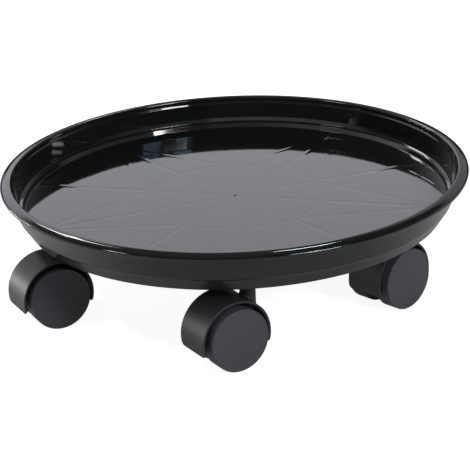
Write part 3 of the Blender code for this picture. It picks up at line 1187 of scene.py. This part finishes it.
@dataclass
class CastorSet:
    """Every castor of the caddy, each modelled once and copied to where the frame has it."""

    joints: dict[str, dict[str, Any]]
    count: int = 5

    def _frames(self, name: str) -> tuple[Matrix, Matrix]:
        """Work out a castor's two frames from its joints.

        Args:
            name: the castor's body.

        Returns:
            The frame under its stem, and the frame in the middle of its axle, both with X along it.
        """
        stem = Vector(self.joints[f"{name}_swivel"]["pos_m"])
        roll = self.joints[f"{name}_left_roll"]
        axis = Vector(roll["axis"])
        heading = Matrix.Rotation(math.atan2(axis.y, axis.x), 4, "Z")
        under_stem = Matrix.Translation((stem.x, stem.y, 0)) @ heading
        return under_stem, Matrix.Translation(Vector(roll["pos_m"])) @ heading

    def build(self, finishes: Finishes) -> None:
        """Make all the castors and hand their pieces over.

        Args:
            finishes: the caddy's materials.
        """
        stem = Vector(self.joints["castor_1_swivel"]["pos_m"])
        axle = Vector(self.joints["castor_1_left_roll"]["pos_m"])
        hood = Hood(trail=(stem - axle).xy.length, axle_height=axle.z).build()
        wheel = Wheel(radius=axle.z).build()
        pin, ring, axle_pin = Stem().build(), GripRing().build(), Axle().build()
        out_left = Matrix.Rotation(math.pi / 2, 4, "Y")
        out_right = Matrix.Rotation(-math.pi / 2, 4, "Y")
        for index in range(self.count):
            name = f"castor_{index + 1}"
            under_stem, at_axle = self._frames(name)
            pieces = (
                ("hood", hood, under_stem, finishes.hood, name, "hood_plastic"),
                ("axle", axle_pin, at_axle @ out_left, finishes.zinc, name, "plated_steel"),
                ("wheel_left", wheel, at_axle @ out_left, finishes.wheel, f"{name}_left", "wheel_plastic"),
                ("wheel_right", wheel, at_axle @ out_right, finishes.wheel, f"{name}_right", "wheel_plastic"),
                ("stem", pin, under_stem, finishes.zinc, "dish", "plated_steel"),
                ("grip_ring", ring, under_stem, finishes.spring, "dish", "spring_steel"),
            )
            for part, pattern, matrix, material, body, slot in pieces:
                piece = place(copy_of(pattern, f"{name}_{part}_fine"), matrix)
                hand_over(piece, material, body, f"{name}_{part}")
        for pattern in (hood, wheel, pin, ring, axle_pin):
            bpy.data.objects.remove(pattern, do_unlink=True)


# The studio --------------------------------------------------------------------------------------


class SoftBox(NamedTuple):
    """A lamp that faces the caddy, in degrees from -Y towards +X and above the horizon."""

    name: str
    azimuth: float
    elevation: float
    width: float
    height: float
    level: float
    colour: tuple[float, float, float] = (1.0, 1.0, 1.0)


# The caddy mirrors each of these somewhere: in the lip, the ledge, the inner wall or the hoods.
SOFT_BOXES = (
    SoftBox("lamp_right", 36.5, 50, 0.43, 0.2, 24),
    SoftBox("key_right", 38, 29, 0.57, 0.3, 36),
    SoftBox("window_right", 29.5, 43.5, 0.31, 0.24, 9, (0.45, 0.7, 1.0)),
    SoftBox("window_far_right", 51.5, 43, 0.34, 0.24, 5, (0.45, 0.7, 1.0)),
    SoftBox("lamp_left", -76, 50, 0.4, 0.2, 24),
    SoftBox("lamp_low_left", -120, 2.4, 0.8, 0.14, 30),
    SoftBox("lamp_behind_left", -162, 39, 0.36, 0.3, 14),
    SoftBox("lamp_behind_right", 168, 47, 0.22, 0.2, 34, (0.86, 0.94, 1.0)),
)

# The backdrop's brightness at each elevation in degrees: a bright band a little above the horizon.
BACKDROP = ((0, 0.05), (11, 0.06), (15, 1.0), (29, 1.0), (33.5, 0.1), (90, 0.12))


@dataclass
class Studio:
    """A pale floor, a backdrop with a band of soft light, the soft boxes, and the camera."""

    dish_radius: float
    floor_size: float = 12.0
    floor_colour: str = "#d2d2d2"
    floor_glow: float = 0.9
    glow_start: float = 0.12
    glow_end: float = 0.4
    left_glow: float = 0.7
    right_glow: float = 0.3
    least_glow: float = 0.05
    lamp_distance: float = 2.2
    # In radii of the dish.
    distance: float = 8.5
    elevation: float = 22.092
    azimuth: float = -2.5
    roll: float = -2.473
    lens: float = 149.95
    aim_side: float = -1.44 * MM
    aim_height: float = 42.15 * MM

    def build(self) -> None:
        """Set up the floor, the light and the camera."""
        scene = bpy.context.scene
        scene.view_settings.view_transform = "Standard"
        self._floor()
        self._world()
        for lamp in SOFT_BOXES:
            self._soft_box(lamp)
        self._camera()

    def _floor(self) -> None:
        """Lay the floor. It glows for the camera, and to the sides in what the caddy mirrors."""
        deselect()
        bpy.ops.mesh.primitive_plane_add(size=self.floor_size)
        floor = named("floor")
        material, tree, shader = new_surface("pale_studio_floor")
        shader.inputs["Base Color"].default_value = linear(self.floor_colour)
        shader.inputs["Roughness"].default_value = 1.0
        shader.inputs["Specular IOR Level"].default_value = 0.0
        shader.inputs["Emission Color"].default_value = (1.0, 1.0, 1.0, 1.0)
        where = add_node(tree, "ShaderNodeTexCoord").outputs["Object"]
        across = add_node(tree, "ShaderNodeSeparateXYZ", {"Vector": where}).outputs["X"]
        sides = (
            (-self.glow_end, -self.glow_start, self.left_glow, self.least_glow),
            (self.glow_start, self.glow_end, self.least_glow, self.right_glow),
        )
        glows = {}
        for index, (start, end, first, last) in enumerate(sides):
            limits = {"From Min": start, "From Max": end, "To Min": first, "To Max": last}
            glows[index] = add_node(tree, "ShaderNodeMapRange", {"Value": across, **limits}).outputs[0]
        side_glow = add_node(tree, "ShaderNodeMath", glows, operation="MAXIMUM")
        seen = add_node(tree, "ShaderNodeLightPath").outputs["Is Camera Ray"]
        choice = {"Factor": seen, "A": side_glow.outputs[0], "B": self.floor_glow}
        glow = add_node(tree, "ShaderNodeMix", choice)
        tree.links.new(glow.outputs["Result"], shader.inputs["Emission Strength"])
        floor.data.materials.append(material)

    def _world(self) -> None:
        """Light from all round: dark at the horizon, bright a little above it, and dim overhead."""
        world = bpy.data.worlds.new("studio")
        bpy.context.scene.world = world
        world.use_nodes = True
        tree = world.node_tree
        background = tree.nodes["Background"]
        where = add_node(tree, "ShaderNodeTexCoord").outputs["Generated"]
        axes = add_node(tree, "ShaderNodeSeparateXYZ", {"Vector": where})
        ramp = add_node(tree, "ShaderNodeValToRGB", {"Fac": axes.outputs["Z"]})
        elements = ramp.color_ramp.elements
        for _ in range(len(BACKDROP) - len(elements)):
            elements.new(0.5)
        for element, (degrees, level) in zip(elements, BACKDROP):
            element.position = math.sin(math.radians(degrees))
            element.color = (level, level, level, 1.0)
        # The backdrop ends a little to the right, so that side is darker, and the room in front is dimmer.
        ends = (("X", 0.13, 0.2, 1.38, 0.5), ("Y", -0.2, 0.3, 0.5, 1.0))
        strength = ramp.outputs["Color"]
        for axis, start, end, first, last in ends:
            limits = {"From Min": start, "From Max": end, "To Min": first, "To Max": last}
            share = add_node(tree, "ShaderNodeMapRange", {"Value": axes.outputs[axis], **limits})
            product = {0: strength, 1: share.outputs[0]}
            strength = add_node(tree, "ShaderNodeMath", product, operation="MULTIPLY").outputs[0]
        # Seen directly, past the floor's edge, it is as pale as the floor.
        seen = add_node(tree, "ShaderNodeLightPath").outputs["Is Camera Ray"]
        shown = add_node(tree, "ShaderNodeMix", {"Factor": seen, "A": strength, "B": 1.0})
        tree.links.new(shown.outputs["Result"], background.inputs["Strength"])
        background.inputs["Color"].default_value = (0.97, 0.985, 1.04, 1.0)

    def _soft_box(self, lamp: SoftBox) -> None:
        """Hang a soft box that faces the caddy.

        Args:
            lamp: what it is and where it hangs.
        """
        side, rise = math.radians(lamp.azimuth), math.radians(lamp.elevation)
        flat = math.cos(rise)
        away = Vector((math.sin(side) * flat, -math.cos(side) * flat, math.sin(rise)))
        light = bpy.data.lights.new(lamp.name, "AREA")
        light.shape = "RECTANGLE"
        light.size, light.size_y = lamp.width, lamp.height
        light.energy = lamp.level * math.pi * lamp.width * lamp.height
        light.color = lamp.colour
        box = bpy.data.objects.new(lamp.name, light)
        bpy.context.scene.collection.objects.link(box)
        box.location = away * self.lamp_distance
        box.rotation_euler = away.to_track_quat("Z", "Y").to_euler()

    def _camera(self) -> None:
        """Set up the camera with a long lens, in front of castor 1 and looking down on the dish."""
        data = bpy.data.cameras.new("camera")
        data.sensor_width = 36
        data.lens = self.lens
        camera = bpy.data.objects.new("camera", data)
        bpy.context.scene.collection.objects.link(camera)
        rise, roll = math.radians(self.elevation), math.radians(self.roll)
        back = Vector((0, -math.cos(rise), math.sin(rise)))
        aim = Vector((self.aim_side, 0, self.aim_height))
        upright = Matrix.Rotation(math.pi / 2 - rise, 4, "X")
        stand = Matrix.Translation(aim + back * self.distance * self.dish_radius) @ upright
        swing = Matrix.Rotation(math.radians(self.azimuth), 4, "Z")
        camera.matrix_world = swing @ stand @ Matrix.Rotation(roll, 4, "Z")
        bpy.context.scene.camera = camera


def main() -> None:
    """Build the caddy piece by piece, and the studio round it."""
    logging.basicConfig(level=logging.INFO, format="%(message)s")
    joints = {joint["name"]: joint for joint in frame["joints"]}
    low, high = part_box("tray")
    stem = Vector(joints["castor_1_swivel"]["pos_m"])
    finishes = Finishes.mix()
    dish = Dish(
        radius=high.x,
        top=high.z,
        socket_bottom=low.z,
        stem_circle=stem.xy.length,
        first_castor=math.atan2(stem.y, stem.x),
    )
    dish.build(finishes)
    CastorSet(joints).build(finishes)
    Studio(dish_radius=high.x).build()


if __name__ == "__main__":
    main()
